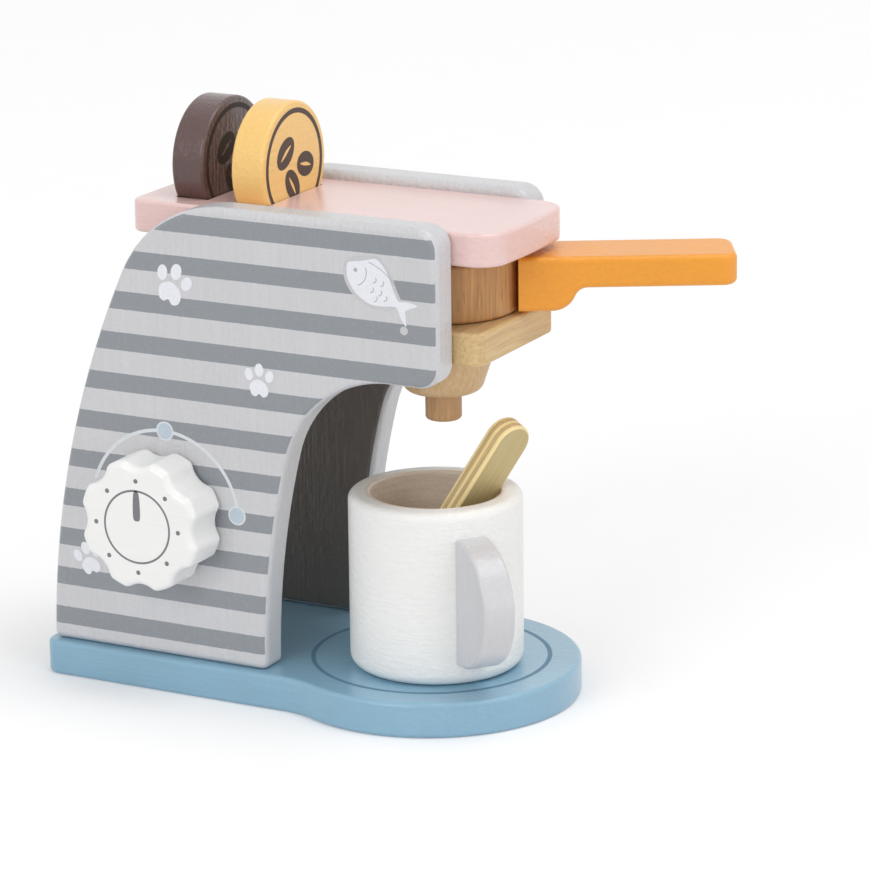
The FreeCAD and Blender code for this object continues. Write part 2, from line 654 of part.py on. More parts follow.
def make_brew_head_bowl():
    """Turned bowl glued under the block, with a hole for the spout dowel."""
    body = new_body("brew_head_bowl")
    body.setExpression("Placement.Base.x", "dims.spout_x")
    body.setExpression("Placement.Base.z", "dims.block_underside")
    sketch = new_sketch(body, "bowl_profile", "XZ_Plane")
    bore = size("spout_radius") + size("dowel_clearance")
    top_r = size("bowl_top_radius")
    low_r = size("bowl_bottom_radius")
    height = size("bowl_height")
    chain = Outline(sketch)
    top = chain.line((bore, 0), (top_r, 0))
    slope = chain.line((top_r, 0), (low_r, -height))
    foot = chain.line((low_r, -height), (bore, -height))
    wall = chain.line((bore, -height), (bore, 0))
    chain.join(["Coincident"] * 4)
    for index, kind in ((top, "Horizontal"), (foot, "Horizontal"), (wall, "Vertical")):
        sketch.addConstraint(Sketcher.Constraint(kind, index))
    bore_cell = "dims.spout_radius + dims.dowel_clearance"
    place_point(sketch, top, 1, bore, bore_cell, 0, "0")
    dimension(sketch, "DistanceX", (-1, 1, slope, 1), top_r, "dims.bowl_top_radius")
    place_point(
        sketch, slope, 2, low_r, "dims.bowl_bottom_radius", -height, "-dims.bowl_height")
    turned = body.newObject("PartDesign::Revolution", "turned_bowl")
    turned.Profile = sketch
    turned.ReferenceAxis = (sketch, ["V_Axis"])
    turned.Angle = 360
    doc.recompute()
    outer = low_r - 0.5
    # The rim of the foot is the one circle there that is wider than the bore.
    round_edges(
        body, "bowl_foot", "dims.bowl_foot_rounding",
        lambda edge: lies_at(edge, "z", -height) and edge.BoundBox.XLength > 2 * outer)
    return body


def make_spout_dowel():
    body = new_body("spout_dowel")
    body.setExpression("Placement.Base.x", "dims.spout_x")
    low_cell = "dims.block_underside - dims.bowl_height - dims.spout_drop"
    body.setExpression("Placement.Base.z", low_cell)
    sketch = new_sketch(body, "spout_circle", "XY_Plane")
    add_circle(sketch, 0, "0", 0, "0", size("spout_radius"), "dims.spout_radius")
    pad(body, sketch, "spout_rod", "dims.spout_drop + dims.bowl_height + dims.spout_depth")
    round_edges(body, "spout_rounding", "dims.spout_rounding", lambda edge: lies_at(edge, "z", 0))
    return body


# Dowels that hold the housing together

def make_joint_dowels(label, points):
    """Two dowels in each side panel, as one group of four."""
    body = new_body(label)
    start = "dims.housing_gap / 2 + dims.joint_dowel_depth - dims.end_clearance"
    sketch = new_sketch(body, label + "_circles", "XZ_Plane", start)
    for x_value, x_expression, z_value, z_expression in points:
        add_circle(
            sketch, x_value, x_expression, z_value, z_expression,
            size("joint_dowel_radius"), "dims.joint_dowel_radius")
    length = "2 * (dims.joint_dowel_depth - dims.end_clearance)"
    rods = pad(body, sketch, label + "_rods", length, True)
    mirrored = body.newObject("PartDesign::Mirrored", label + "_mirrored")
    mirrored.Originals = [rods]
    mirrored.MirrorPlane = (origin_item(body, "XZ_Plane"), [""])
    body.Tip = mirrored
    doc.recompute()
    return body


# Pods

def make_pod(label, x_alias):
    """Wooden disc that stands in its slot."""
    body = new_body(label)
    body.setExpression("Placement.Base.x", "dims." + x_alias)
    body.setExpression("Placement.Base.z", board_top_cell + " + dims.pod_rise")
    sketch = new_sketch(body, label + "_circle", "YZ_Plane", "-dims.pod_thickness / 2")
    add_circle(sketch, 0, "0", 0, "0", size("pod_radius"), "dims.pod_radius")
    pad(body, sketch, label + "_disc", "dims.pod_thickness")
    half = size("pod_thickness") / 2
    round_edges(
        body, label + "_rounding", "dims.pod_arris",
        lambda edge: lies_at(edge, "x", half) or lies_at(edge, "x", -half))
    return body


# Portafilter: basket, handle and the dowel between them, on the pivot dowel

def place_on_pivot(body):
    body.setExpression("Placement.Base.x", "dims.spout_x")
    body.setExpression("Placement.Base.z", block_top_cell + " + dims.basket_lift")
    body.Placement.Rotation = Rotation(Vector(0, 0, 1), size("handle_angle"))
    body.setExpression("Placement.Rotation.Angle", "dims.handle_angle * 1 deg")


handle_dowel_z = size("handle_top") - size("handle_grip_height")
handle_dowel_z_cell = "dims.handle_top - dims.handle_grip_height"


def make_portafilter_basket():
    body = new_body("portafilter_basket")
    sketch = new_sketch(body, "basket_outline", "XY_Plane")
    radius = size("basket_radius")
    flat = size("basket_flat")
    half = math.sqrt(radius ** 2 - flat ** 2)
    chain = Outline(sketch)
    rim = chain.arc((0, 0), radius, (flat, half), (flat, -half), True)
    chord = chain.line((flat, -half), (flat, half))
    chain.join(["Coincident"] * 2)
    sketch.addConstraint(Sketcher.Constraint("Vertical", chord))
    place_point(sketch, rim, 3, 0, "0", 0, "0")
    dimension(sketch, "Radius", (rim,), radius, "dims.basket_radius")
    dimension(sketch, "DistanceX", (-1, 1, chord, 1), flat, "dims.basket_flat")
    pad(body, sketch, "basket_disc", "dims.basket_thickness")
    round_edges(body, "basket_rounding", "dims.basket_arris", lambda edge: not is_upright(edge))
    pivot = new_sketch(body, "basket_pivot_circle", "XY_Plane")
    add_circle(
        pivot, 0, "0", 0, "0", size("pivot_radius"), "dims.pivot_radius + dims.running_clearance")
    pocket(body, pivot, "basket_pivot_hole", "dims.basket_thickness", True)
    side = new_sketch(body, "basket_dowel_circle", "YZ_Plane", "dims.basket_flat")
    add_circle(
        side, 0, "0", handle_dowel_z, handle_dowel_z_cell,
        size("handle_dowel_radius"), "dims.handle_dowel_radius + dims.dowel_clearance")
    pocket(body, side, "basket_dowel_hole", "dims.handle_dowel_depth")
    place_on_pivot(body)
    return body


def make_portafilter_handle():
    """Flat handle, deep at the root, that thins to the grip in a double curve underneath."""
    body = new_body("portafilter_handle")
    start = size("basket_flat")
    end = size("handle_end")
    top = size("handle_top")
    root = top - size("handle_root_height")
    grip = top - size("handle_grip_height")
    outer_r = size("handle_outer_curve")
    inner_r = size("handle_inner_curve")
    bend_x = start + size("handle_root_length")
    turn = math.acos(1 - (grip - root) / (outer_r + inner_r))
    outer_centre = (bend_x, root + outer_r)
    meet = (bend_x + outer_r * math.sin(turn), root + outer_r * (1 - math.cos(turn)))
    grip_x = bend_x + (outer_r + inner_r) * math.sin(turn)
    inner_centre = (grip_x, grip - inner_r)
    sketch = new_sketch(body, "handle_outline", "XZ_Plane", "-dims.handle_width / 2")
    chain = Outline(sketch)
    heel = chain.line((start, root), (bend_x, root))
    outer = chain.arc(outer_centre, outer_r, (bend_x, root), meet, True)
    inner = chain.arc(inner_centre, inner_r, meet, (grip_x, grip), False)
    belly = chain.line((grip_x, grip), (end, grip))
    tip = chain.line((end, grip), (end, top))
    crest = chain.line((end, top), (start, top))
    face = chain.line((start, top), (start, root))
    chain.join(["Tangent"] * 3 + ["Coincident"] * 4)
    for index in (heel, belly, crest):
        sketch.addConstraint(Sketcher.Constraint("Horizontal", index))
    for index in (tip, face):
        sketch.addConstraint(Sketcher.Constraint("Vertical", index))
    place_point(
        sketch, heel, 1, start, "dims.basket_flat", root, "dims.handle_top - dims.handle_root_height")
    place_point(sketch, crest, 1, end, "dims.handle_end", top, "dims.handle_top")
    dimension(
        sketch, "DistanceX", (-1, 1, heel, 2), bend_x, "dims.basket_flat + dims.handle_root_length")
    dimension(
        sketch, "DistanceY", (-1, 1, belly, 1), grip, "dims.handle_top - dims.handle_grip_height")
    dimension(sketch, "Radius", (outer,), outer_r, "dims.handle_outer_curve")
    dimension(sketch, "Radius", (inner,), inner_r, "dims.handle_inner_curve")
    pad(body, sketch, "handle_bar", "dims.handle_width")
    round_edges(
        body, "handle_end_corners", "dims.handle_corner_radius",
        lambda edge: is_upright(edge) and near(edge.BoundBox.XMax, end))
    round_edges(
        body, "handle_rounding", "dims.handle_arris",
        lambda edge: edge.BoundBox.XMax > start + 1 and not is_upright(edge)
        and edge.BoundBox.YLength < size("handle_width") - 7
        or lies_at(edge, "x", end))
    side = new_sketch(body, "handle_dowel_circle", "YZ_Plane", "dims.basket_flat")
    add_circle(
        side, 0, "0", handle_dowel_z, handle_dowel_z_cell,
        size("handle_dowel_radius"), "dims.handle_dowel_radius + dims.dowel_clearance")
    pocket(body, side, "handle_dowel_hole", "dims.handle_dowel_depth", True)
    place_on_pivot(body)
    return body


def make_handle_dowel():
    body = new_body("portafilter_handle_dowel")
    start = "dims.basket_flat - dims.handle_dowel_depth + dims.end_clearance"
    sketch = new_sketch(body, "handle_rod_circle", "YZ_Plane", start)
    add_circle(
        sketch, 0, "0", handle_dowel_z, handle_dowel_z_cell,
        size("handle_dowel_radius"), "dims.handle_dowel_radius")
    pad(body, sketch, "handle_rod", "2 * (dims.handle_dowel_depth - dims.end_clearance)")
    place_on_pivot(body)
    return body


def make_pivot_dowel():
    """Upright dowel from the block through the basket into the top board."""
    body = new_body("portafilter_pivot_dowel")
    body.setExpression("Placement.Base.x", "dims.spout_x")
    sketch = new_sketch(body, "pivot_circle", "XY_Plane", block_top_cell + " - dims.pivot_depth")
    add_circle(sketch, 0, "0", 0, "0", size("pivot_radius"), "dims.pivot_radius")
    length = "dims.top_board_underside - (" + block_top_cell + ") + 2 * dims.pivot_depth"
    pad(body, sketch, "pivot_rod", length)
    return body


# Dial knob on its axle

def place_on_knob_axis(body):
    body.setExpression("Placement.Base.x", "dims.knob_x")
    body.setExpression("Placement.Base.z", "dims.knob_z")


knob_back_cell = "dims.housing_gap / 2 + dims.panel_thickness + dims.knob_gap"


def make_dial_knob():
    """Round knob with finger hollows round its rim."""
    body = new_body("dial_knob")
    sketch = new_sketch(body, "knob_circle", "XZ_Plane", knob_back_cell)
    add_circle(sketch, 0, "0", 0, "0", size("knob_radius"), "dims.knob_radius")
    pad(body, sketch, "knob_blank", "dims.knob_thickness")
    hollow = new_sketch(body, "knob_hollow_circle", "XZ_Plane", knob_back_cell)
    distance = size("knob_radius") + size("knob_hollow_radius") - size("knob_hollow_depth")
    distance_cell = "dims.knob_radius + dims.knob_hollow_radius - dims.knob_hollow_depth"
    add_circle(
        hollow, 0, "0", distance, distance_cell,
        size("knob_hollow_radius"), "dims.knob_hollow_radius")
    cut = pocket(body, hollow, "knob_hollow", "dims.knob_thickness", True)
    ring = body.newObject("PartDesign::PolarPattern", "knob_hollows")
    ring.Originals = [cut]
    ring.Axis = (origin_item(body, "Y_Axis"), [""])
    ring.Angle = 360
    ring.setExpression("Occurrences", "dims.knob_lobes")
    body.Tip = ring
    doc.recompute()
    back = -(size("housing_gap") / 2 + size("panel_thickness") + size("knob_gap"))
    front = back - size("knob_thickness")
    round_edges(
        body, "knob_lobe_rounding", "dims.knob_lobe_rounding",
        lambda edge: near(edge.BoundBox.YLength, size("knob_thickness"))
        and near(edge.BoundBox.XLength, 0) and near(edge.BoundBox.ZLength, 0))
    round_edges(
        body, "knob_rounding", "dims.knob_arris",
        lambda edge: lies_at(edge, "y", front) or lies_at(edge, "y", back))
    bore = new_sketch(body, "knob_bore_circle", "XZ_Plane", knob_back_cell)
    add_circle(
        bore, 0, "0", 0, "0", size("axle_radius"), "dims.axle_radius + dims.dowel_clearance")
    pocket(body, bore, "knob_bore", "dims.axle_depth + dims.end_clearance", True)
    place_on_knob_axis(body)
    return body


retainer_face_cell = "dims.housing_gap / 2 - dims.knob_gap"


def make_knob_axle():
    body = new_body("knob_axle")
    start = retainer_face_cell + " - dims.retainer_thickness"
    sketch = new_sketch(body, "axle_circle", "XZ_Plane", start)
    add_circle(sketch, 0, "0", 0, "0", size("axle_radius"), "dims.axle_radius")
    length = "dims.retainer_thickness + 2 * dims.knob_gap + dims.panel_thickness + dims.axle_depth"
    pad(body, sketch, "axle_rod", length)
    place_on_knob_axis(body)
    return body


def make_knob_retainer():
    """Disc glued to the inner end of the axle, so that the knob can't be pulled out."""
    body = new_body("knob_retainer")
    start = retainer_face_cell + " - dims.retainer_thickness"
    sketch = new_sketch(body, "retainer_circle", "XZ_Plane", start)
    add_circle(sketch, 0, "0", 0, "0", size("retainer_radius"), "dims.retainer_radius")
    pad(body, sketch, "retainer_disc", "dims.retainer_thickness")
    round_edges(body, "retainer_rounding", "dims.retainer_rounding", lambda edge: edge.Closed)
    bore = new_sketch(body, "retainer_bore_circle", "XZ_Plane", start)
    add_circle(
        bore, 0, "0", 0, "0", size("axle_radius"), "dims.axle_radius + dims.dowel_clearance")
    pocket(body, bore, "retainer_bore", "dims.retainer_thickness", True)
    place_on_knob_axis(body)
    return body


# Cup with its half-round handle

cup_foot_cell = "dims.base_thickness + dims.cup_seat"


def place_as_cup(body):
    body.setExpression("Placement.Base.x", "dims.cup_x")
    body.setExpression("Placement.Base.y", "dims.cup_y")
    body.setExpression("Placement.Base.z", cup_foot_cell)
    body.Placement.Rotation = Rotation(Vector(0, 0, 1), size("cup_turn"))
    body.setExpression("Placement.Rotation.Angle", "dims.cup_turn * 1 deg")


def ear_dowel_circles(sketch, radius_cell):
    for sign, text in ((-1, "-"), (1, "+")):
        height = size("ear_height") + sign * size("ear_dowel_spacing") / 2
        height_cell = "dims.ear_height " + text + " dims.ear_dowel_spacing / 2"
        add_circle(sketch, 0, "0", height, height_cell, size("ear_dowel_radius"), radius_cell)


def make_cup_body():
    body = new_body("cup_body")
    sketch = new_sketch(body, "cup_circle", "XY_Plane")
    add_circle(sketch, 0, "0", 0, "0", size("cup_radius"), "dims.cup_radius")
    pad(body, sketch, "cup_blank", "dims.cup_height")
    bore = new_sketch(body, "cup_bore_circle", "XY_Plane", "dims.cup_height")
    add_circle(bore, 0, "0", 0, "0", size("cup_bore_radius"), "dims.cup_bore_radius")
    pocket(body, bore, "cup_bore", "dims.cup_height - dims.cup_floor")
    middle = size("cup_radius") + size("cup_bore_radius")
    round_edges(
        body, "cup_rim", "dims.cup_rim_rounding",
        lambda edge: lies_at(edge, "z", size("cup_height")) and edge.BoundBox.XLength > middle)
    round_edges(
        body, "cup_lip", "dims.cup_lip_rounding",
        lambda edge: lies_at(edge, "z", size("cup_height")) and edge.BoundBox.XLength < 0.9 * middle)
    round_edges(body, "cup_foot", "dims.cup_foot_rounding", lambda edge: lies_at(edge, "z", 0))
    round_edges(
        body, "cup_floor_edge", "dims.cup_floor_rounding",
        lambda edge: lies_at(edge, "z", size("cup_floor")))
    holes = new_sketch(body, "cup_dowel_circles", "YZ_Plane", "dims.cup_radius - dims.ear_dowel_depth")
    ear_dowel_circles(holes, "dims.ear_dowel_radius + dims.dowel_clearance")
    pocket(body, holes, "cup_dowel_holes", "2 * dims.ear_dowel_depth", True)
    place_as_cup(body)
    return body


def make_cup_handle():
    """Half-round handle, hollowed at the back to fit the cup."""
    body = new_body("cup_handle")
    radius = size("ear_radius")
    centre_x = size("ear_reach") - radius
    centre_z = size("ear_height")
    back_x = centre_x - 4
    sketch = new_sketch(body, "ear_outline", "XZ_Plane", "-dims.ear_thickness / 2")
    chain = Outline(sketch)
    low = chain.line((back_x, centre_z - radius), (centre_x, centre_z - radius))
    rim = chain.arc(
        (centre_x, centre_z), radius, (centre_x, centre_z - radius), (centre_x, centre_z + radius), True)
    high = chain.line((centre_x, centre_z + radius), (back_x, centre_z + radius))
    back = chain.line((back_x, centre_z + radius), (back_x, centre_z - radius))
    chain.join(["Tangent", "Tangent", "Coincident", "Coincident"])
    sketch.addConstraint(Sketcher.Constraint("Horizontal", low))
    sketch.addConstraint(Sketcher.Constraint("Horizontal", high))
    sketch.addConstraint(Sketcher.Constraint("Vertical", back))
    dimension(sketch, "Radius", (rim,), radius, "dims.ear_radius")
    place_point(
        sketch, rim, 3, centre_x, "dims.ear_reach - dims.ear_radius", centre_z, "dims.ear_height")
    dimension(
        sketch, "DistanceX", (-1, 1, back, 1), back_x, "dims.ear_reach - dims.ear_radius - 4")
    pad(body, sketch, "ear_plate", "dims.ear_thickness")
    seat = new_sketch(body, "ear_seat_circle", "XY_Plane")
    add_circle(seat, 0, "0", 0, "0", size("cup_radius"), "dims.cup_radius")
    pocket(body, seat, "ear_seat", "dims.cup_height", True)
    half = size("ear_thickness") / 2
    round_edges(
        body, "ear_rounding", "dims.ear_arris",
        lambda edge: lies_at(edge, "y", -half) and edge.BoundBox.XMax > size("cup_radius") + 1
        or lies_at(edge, "y", half) and edge.BoundBox.XMax > size("cup_radius") + 1)
    holes = new_sketch(body, "ear_dowel_circles", "YZ_Plane", "0")
    ear_dowel_circles(holes, "dims.ear_dowel_radius + dims.dowel_clearance")
    depth = "dims.cup_radius - dims.ear_dowel_depth + dims.ear_dowel_length + dims.end_clearance"
    pocket(body, holes, "ear_dowel_holes", depth, True)
    place_as_cup(body)
    return body


def make_cup_handle_dowels():
    body = new_body("cup_handle_dowels")
    start = "dims.cup_radius - dims.ear_dowel_depth + dims.end_clearance"
    sketch = new_sketch(body, "ear_rod_circles", "YZ_Plane", start)
    ear_dowel_circles(sketch, "dims.ear_dowel_radius")
    pad(body, sketch, "ear_rods", "dims.ear_dowel_length - dims.end_clearance")
    place_as_cup(body)
    return body


# Spoon that leans in the cup

def make_spoon():
    """Flat plywood spoon with a round, slightly dished end."""
    body = new_body("spoon")
    length = size("spoon_length")
    half = size("spoon_stick_width") / 2
    bowl_r = size("spoon_bowl_radius")
    neck_r = size("spoon_neck_radius")
    neck_y = half + neck_r
    neck_x = bowl_r + math.sqrt((bowl_r + neck_r) ** 2 - neck_y ** 2)
    share = bowl_r / (bowl_r + neck_r)
    touch = (bowl_r + (neck_x - bowl_r) * share, neck_y * share)
    end_x = length - half
    sketch = new_sketch(body, "spoon_outline", "XY_Plane", "-dims.spoon_thickness / 2")
    chain = Outline(sketch)
    low = chain.line((neck_x, -half), (end_x, -half))
    tip = chain.arc((end_x, 0), half, (end_x, -half), (end_x, half), True)
    high = chain.line((end_x, half), (neck_x, half))
    high_neck = chain.arc((neck_x, neck_y), neck_r, (neck_x, half), touch, False)
    bowl = chain.arc((bowl_r, 0), bowl_r, touch, (touch[0], -touch[1]), True)
    low_neck = chain.arc((neck_x, -neck_y), neck_r, (touch[0], -touch[1]), (neck_x, -half), False)
    chain.join(["Tangent"] * 6)
    sketch.addConstraint(Sketcher.Constraint("Horizontal", low))
    sketch.addConstraint(Sketcher.Constraint("Horizontal", high))
    dimension(sketch, "Radius", (tip,), half, "dims.spoon_stick_width / 2")
    place_point(
        sketch, tip, 3, end_x, "dims.spoon_length - dims.spoon_stick_width / 2", 0, "0")
    dimension(sketch, "Radius", (bowl,), bowl_r, "dims.spoon_bowl_radius")
    place_point(sketch, bowl, 3, bowl_r, "dims.spoon_bowl_radius", 0, "0")
    for index in (low_neck, high_neck):
        dimension(sketch, "Radius", (index,), neck_r, "dims.spoon_neck_radius")
    pad(body, sketch, "spoon_blank", "dims.spoon_thickness")
    round_edges(body, "spoon_rounding", "dims.spoon_arris", lambda edge: not is_upright(edge))
    before = body.Shape.Volume
    dish = body.newObject("PartDesign::SubtractiveSphere", "spoon_dish")
    dish.setExpression("Radius", "dims.spoon_dish_radius")
    dish.AttachmentSupport = [(origin_item(body, "XY_Plane"), "")]
    dish.MapMode = "FlatFace"
    dish.setExpression("AttachmentOffset.Base.x", "dims.spoon_bowl_radius")
    rise = "dims.spoon_thickness / 2 + dims.spoon_dish_radius - dims.spoon_dish_depth"
    dish.setExpression("AttachmentOffset.Base.z", rise)
    doc.recompute()
    if not body.Shape.Volume < before:
        raise RuntimeError("the spoon's dish cuts nothing")
    heading = math.radians(size("spoon_heading"))
    body.setExpression("Placement.Base.x", "dims.cup_x + dims.spoon_foot_x")
    body.setExpression("Placement.Base.y", "dims.cup_y + dims.spoon_foot_y")
    body.setExpression("Placement.Base.z", cup_foot_cell + " + dims.spoon_foot_z")
    body.Placement.Rotation = Rotation(math.degrees(heading), -size("spoon_slope"), size("spoon_twist"))
    return body


SUB_PARTS = [
    make_base_board(),
    make_base_screws(),
    make_side_panel("left_side_panel", -1),
    make_side_panel("right_side_panel", 1),
    make_top_board(),
    make_joint_dowels("top_board_dowels", TOP_DOWELS),
    make_brew_head_block(),
    make_joint_dowels("block_dowels", BLOCK_DOWELS),
    make_brew_head_bowl(),
    make_spout_dowel(),
    make_pod("pod_dark", "pod_rear_x"),
    make_pod("pod_yellow", "pod_front_x"),
    make_pivot_dowel(),
    make_portafilter_basket(),
    make_portafilter_handle(),
    make_handle_dowel(),
    make_dial_knob(),
    make_knob_axle(),
    make_knob_retainer(),
    make_cup_body(),
    make_cup_handle(),
    make_cup_handle_dowels(),
    make_spoon(),
]
doc.recompute()

# Checks, and the files that are written

problems = [item.Name for item in doc.Objects if "Invalid" in item.State or "Error" in item.State]
for part in SUB_PARTS:
    if part.Shape.isNull() or not part.Shape.isValid() or not part.Shape.Solids:
        problems.append(part.Label + " has no valid solid")
if problems:
    print("failed: " + ", ".join(problems))
    sys.exit(1)

os.makedirs("parts", exist_ok=True)
for part in SUB_PARTS:
    part.Shape.exportStep("parts/" + part.Label + ".step")
    print(part.Label, len(part.Shape.Solids), round(part.Shape.Volume))
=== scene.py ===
"""Looks of the wooden play coffee maker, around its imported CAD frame."""

import math

import bpy
from mathutils import Matrix, Vector


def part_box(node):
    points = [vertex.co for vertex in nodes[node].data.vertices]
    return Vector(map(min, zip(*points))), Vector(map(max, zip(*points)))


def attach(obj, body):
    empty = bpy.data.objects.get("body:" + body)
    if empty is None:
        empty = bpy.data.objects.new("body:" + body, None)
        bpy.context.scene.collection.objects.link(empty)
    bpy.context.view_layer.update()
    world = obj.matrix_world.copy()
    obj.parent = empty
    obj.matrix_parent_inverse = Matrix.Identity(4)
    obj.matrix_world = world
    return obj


MM = 0.001

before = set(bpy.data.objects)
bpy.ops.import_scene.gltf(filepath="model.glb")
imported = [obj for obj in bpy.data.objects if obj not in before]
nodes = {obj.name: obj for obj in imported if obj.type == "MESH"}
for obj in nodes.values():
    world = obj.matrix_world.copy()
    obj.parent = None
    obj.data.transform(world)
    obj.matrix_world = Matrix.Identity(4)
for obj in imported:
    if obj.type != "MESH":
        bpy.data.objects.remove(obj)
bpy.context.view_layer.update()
scene = bpy.context.scene


# Faces and axes of the part that finishes and prints follow, in millimetres

def lowest(name):
    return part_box(name)[0] / MM


def highest(name):
    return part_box(name)[1] / MM


def middle(name):
    return (lowest(name) + highest(name)) / 2


BASE_TOP = highest("base_board").z
PANEL_INNER = lowest("right_side_panel").y
PANEL_OUTER = highest("right_side_panel").y
TOP_BOARD_UNDERSIDE = lowest("top_board").z
KNOB_FACE = -lowest("dial_knob").y
KNOB_AXIS = middle("dial_knob").xz
CUP_AXIS = middle("cup_body").xy
POD_CENTRE_HEIGHT = middle("pod_yellow").z
FRONT_POD_FACE = highest("pod_yellow").x
REAR_POD_FACE = highest("pod_dark").x

# Sizes of the part that no box of a node shows, in millimetres and degrees
ROUND_CENTRE = (38, 0)
CUP_BORE_RADIUS = 21.5
CUP_FLOOR_THICKNESS = 9
SPOON_THICKNESS = 7
SPOON_FOOT = (31.0, -12.7, 26.6)
SPOON_HEADING = 27.7
SPOON_SLOPE = 58.8
SPOON_TWIST = -47


# Camera

CAMERA_PLACE = (0.64287, -1.147, 0.45334)
CAMERA_YAW = 27.72
CAMERA_PITCH = 15.74
CAMERA_ROLL = -0.66
FOCAL_LENGTH = 169.71


def make_camera():
    """Camera at the photograph's viewpoint, looking at the toy from its front left."""
    yaw, pitch, roll = (math.radians(a) for a in (CAMERA_YAW, CAMERA_PITCH, CAMERA_ROLL))
    level = math.cos(pitch)
    forward = Vector((-math.sin(yaw) * level, math.cos(yaw) * level, -math.sin(pitch)))
    right = Vector((math.cos(yaw), math.sin(yaw), 0))
    up = right.cross(forward)
    view_right = right * math.cos(roll) + up * math.sin(roll)
    view_up = up * math.cos(roll) - right * math.sin(roll)
    data = bpy.data.cameras.new("camera")
    data.sensor_width = 36
    data.lens = FOCAL_LENGTH
    data.clip_start = 0.05
    data.clip_end = 60
    camera = bpy.data.objects.new("camera", data)
    scene.collection.objects.link(camera)
    matrix = Matrix((view_right, view_up, -forward)).transposed().to_4x4()
    matrix.translation = CAMERA_PLACE
    camera.matrix_world = matrix
    scene.camera = camera


make_camera()


# Materials

def linear(red, green, blue):
    """Linear colour of an sRGB colour given in 0 to 255."""
    def channel(value):
        value /= 255
        return value / 12.92 if value <= 0.04045 else ((value + 0.055) / 1.055) ** 2.4
    return (channel(red), channel(green), channel(blue), 1)


class Look:
    """Material with a Principled shader and helpers to chain nodes."""

    def __init__(self, name, roughness, specular=0.5, coat=0.0):
        self.material = bpy.data.materials.new(name)
        self.material.use_nodes = True
        self.tree = self.material.node_tree
        self.tree.nodes.clear()
        output = self.tree.nodes.new("ShaderNodeOutputMaterial")
        self.shader = self.tree.nodes.new("ShaderNodeBsdfPrincipled")
        self.shader.inputs["Roughness"].default_value = roughness
        self.shader.inputs["Specular IOR Level"].default_value = specular
        self.shader.inputs["Coat Weight"].default_value = coat
        self.shader.inputs["Coat Roughness"].default_value = 0.25
        self.tree.links.new(self.shader.outputs[0], output.inputs["Surface"])
        self.coordinates = self.tree.nodes.new("ShaderNodeTexCoord").outputs["Object"]

    def put(self, socket, value):
        """Links a socket, or sets a plain value."""
        if isinstance(value, bpy.types.NodeSocket):
            self.tree.links.new(value, socket)
        else:
            socket.default_value = value

    def math(self, operation, a, b=0.0):
        node = self.tree.nodes.new("ShaderNodeMath")
        node.operation = operation
        self.put(node.inputs[0], a)
        self.put(node.inputs[1], b)
        return node.outputs[0]

    def split(self, vector=None):
        node = self.tree.nodes.new("ShaderNodeSeparateXYZ")
        self.put(node.inputs[0], vector or self.coordinates)
        return node.outputs

    def scaled(self, scale):
        """Object coordinates, in metres, multiplied per axis."""
        stretch = self.tree.nodes.new("ShaderNodeVectorMath")
        stretch.operation = "MULTIPLY"
        self.put(stretch.inputs[0], self.coordinates)
        stretch.inputs[1].default_value = scale
        return stretch.outputs[0]

    def measured(self, direction):
        """Object coordinates, in metres, measured along one direction."""
        product = self.tree.nodes.new("ShaderNodeVectorMath")
        product.operation = "DOT_PRODUCT"
        self.put(product.inputs[0], self.coordinates)
        product.inputs[1].default_value = direction
        return product.outputs["Value"]

    def joined(self, x, y, z):
        node = self.tree.nodes.new("ShaderNodeCombineXYZ")
        for socket, value in zip(node.inputs, (x, y, z)):
            self.put(socket, value)
        return node.outputs[0]

    def noise(self, vector, detail=3.0, roughness=0.55, distortion=0.0):
        node = self.tree.nodes.new("ShaderNodeTexNoise")
        self.put(node.inputs["Vector"], vector)
        node.inputs["Scale"].default_value = 1
        node.inputs["Detail"].default_value = detail
        node.inputs["Roughness"].default_value = roughness
        node.inputs["Distortion"].default_value = distortion
        return node.outputs["Fac"]

    def ramp(self, factor, low, high):
        """0 below low, 1 above high, smooth between them."""
        node = self.tree.nodes.new("ShaderNodeMapRange")
        node.interpolation_type = "SMOOTHSTEP"
        self.put(node.inputs["Value"], factor)
        node.inputs["From Min"].default_value = low
        node.inputs["From Max"].default_value = high
        return node.outputs[0]

    def mix(self, factor, a, b):
        node = self.tree.nodes.new("ShaderNodeMix")
        node.data_type = "RGBA"
        self.put(node.inputs["Factor"], factor)
        self.put(node.inputs[6], a)
        self.put(node.inputs[7], b)
        return node.outputs[2]

    def tinted(self, color, amount, factor):
        """Colour made darker by up to that share where factor is 0."""
        dark = tuple(channel * (1 - amount) for channel in color[:3]) + (1,)
        return self.mix(factor, dark, color)

    def bump(self, height, distance, strength=1.0, normal=None):
        node = self.tree.nodes.new("ShaderNodeBump")
        node.inputs["Strength"].default_value = strength
        node.inputs["Distance"].default_value = distance
        self.put(node.inputs["Height"], height)
        if normal is not None:
            self.put(node.inputs["Normal"], normal)
        return node.outputs[0]

    def finish(self, color, normal=None, roughness=None):
        self.put(self.shader.inputs["Base Color"], color)
        if normal is not None:
            self.put(self.shader.inputs["Normal"], normal)
        if roughness is not None:
            self.put(self.shader.inputs["Roughness"], roughness)
        return self.material


def grain_scale(along, fine, long):
    """Scale per axis for fibres that run along one axis."""
    return tuple(long if axis == along else fine for axis in "xyz")


